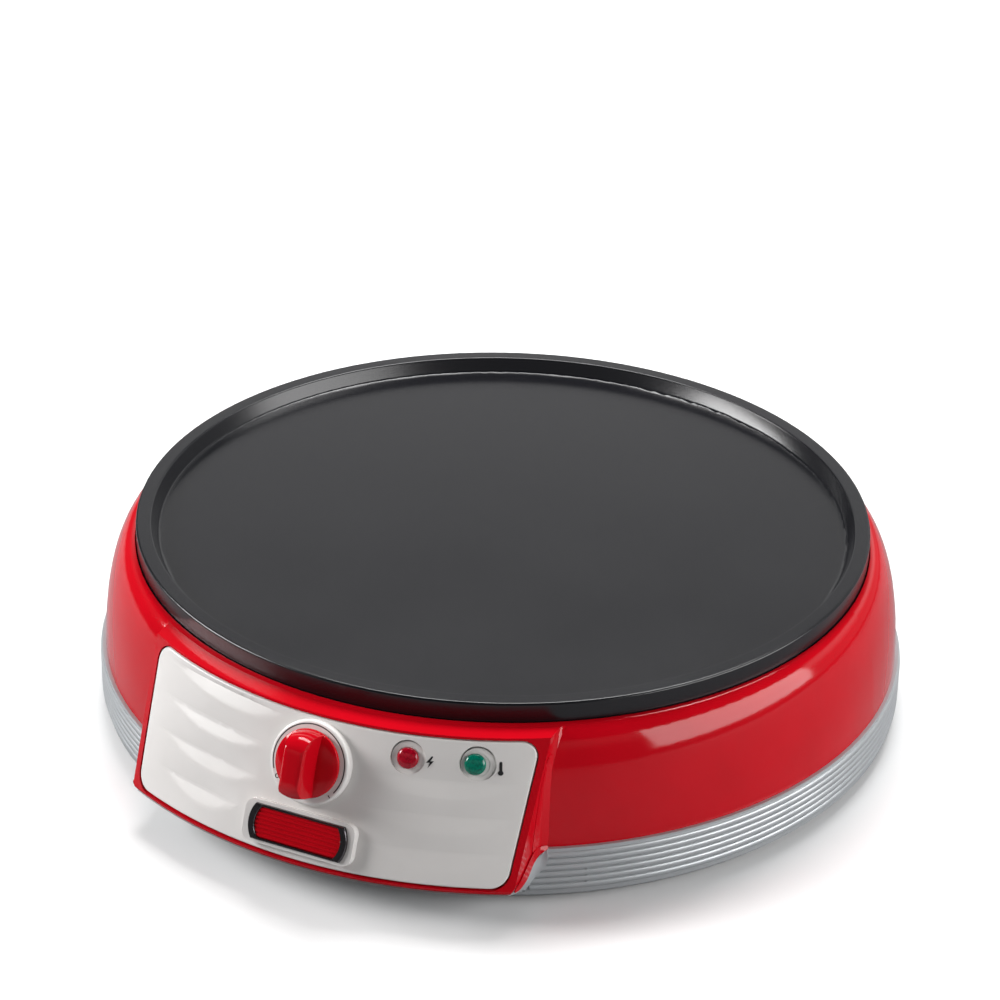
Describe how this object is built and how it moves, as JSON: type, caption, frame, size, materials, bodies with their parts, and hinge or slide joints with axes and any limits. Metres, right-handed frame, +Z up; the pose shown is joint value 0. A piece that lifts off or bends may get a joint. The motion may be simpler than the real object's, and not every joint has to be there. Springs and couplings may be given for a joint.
{
  "type": "electric crepe maker",
  "caption": "Round electric crepe maker with a dark cooking plate in a red body, a ribbed silver base ring and a white control panel with a red knob and signal lamps.",
  "frame": {"origin": "on the table under the middle of the overall width and depth", "axes": "+Z up, front with the control panel towards -Y, +X to the right seen from the front"},
  "size_m": [0.3318, 0.3574, 0.079],
  "materials": {
    "plate_coating": "dark non-stick coating with a low sheen",
    "red_gloss": "glossy red",
    "silver_plastic": "silver painted, satin",
    "white_gloss": "glossy off-white",
    "chrome": "bright plated",
    "red_lens": "translucent red",
    "green_lens": "translucent green",
    "black_plastic": "fine grained black",
    "black_rubber": "matt black",
    "steel": "zinc plated",
    "bright_steel": "aluminised sheet",
    "element_steel": "heat-darkened",
    "copper": "drawn copper",
    "brass": "plain",
    "phenolic": "dark phenolic",
    "pale_plastic": "off-white nylon",
    "ceramic": "unglazed",
    "clear_glass": "clear",
    "white_sleeve": "silicone sleeving",
    "brown_sleeve": "silicone sleeving",
    "black_sleeve": "silicone sleeving",
    "blue_sleeve": "silicone sleeving",
    "green_sleeve": "silicone sleeving"
  },
  "bodies": {
    "cooker": {"badge_frame": "chrome", "badge_insert": "red_gloss", "base_ring": "silver_plastic", "base_screws": "steel", "block_screws": "steel", "body_shell": "red_gloss", "bottom_cover": "black_plastic", "bracket_screws": "steel", "bulb_clip": "steel", "bulb_clip_screws": "steel", "capillary_tube": "copper", "clamp_screws": "steel", "control_panel": "white_gloss", "cooking_plate": "plate_coating", "cord_bush": "black_rubber", "cord_clamp": "black_plastic", "earth_lug": "brass", "earth_screw": "steel", "earth_wire": "green_sleeve", "element_clip_screws": "steel", "element_clips": "steel", "element_tabs": "steel", "fuse_clip": "steel", "fuse_clip_screws": "steel", "heat_lamp_lens": "green_lens", "heat_reflector": "bright_steel", "heating_element": "element_steel", "lamp_sockets": "pale_plastic", "lamp_wires": "white_sleeve", "line_wire": "brown_sleeve", "load_wire": "black_sleeve", "neon_lamps": "clear_glass", "neutral_wire": "blue_sleeve", "plate_screws": "steel", "plate_spacers": "steel", "pole_screws": "brass", "power_lamp_lens": "red_lens", "receptacles": "pale_plastic", "rubber_feet": "black_rubber", "sensor_bulb": "copper", "terminal_block": "pale_plastic", "thermal_fuse": "pale_plastic", "thermostat_body": "phenolic", "thermostat_bracket": "steel", "thermostat_screws": "steel", "thermostat_tabs": "brass"},
    "knob": {"control_knob": "red_gloss", "thermostat_shaft": "steel", "knob_spring": "steel"},
    "pusher": {"thermostat_pusher": "ceramic"}
  },
  "joints": [
    {"name": "knob_turn", "type": "hinge", "parent": "cooker", "child": "knob", "pos_m": [0, -0.15762, 0.0535], "axis": [0, 0.9283, -0.3719], "range_deg": [-124, 136]},
    {"name": "pusher_slide", "type": "slide", "parent": "cooker", "child": "pusher", "axis": [0, 0.9283, -0.3719], "range_m": [-0.00034627, 0.00037978]}
  ],
  "couplings": [
    {"joint": "knob_turn", "follows": "pusher_slide", "rad_per_m": 6250}
  ]
}
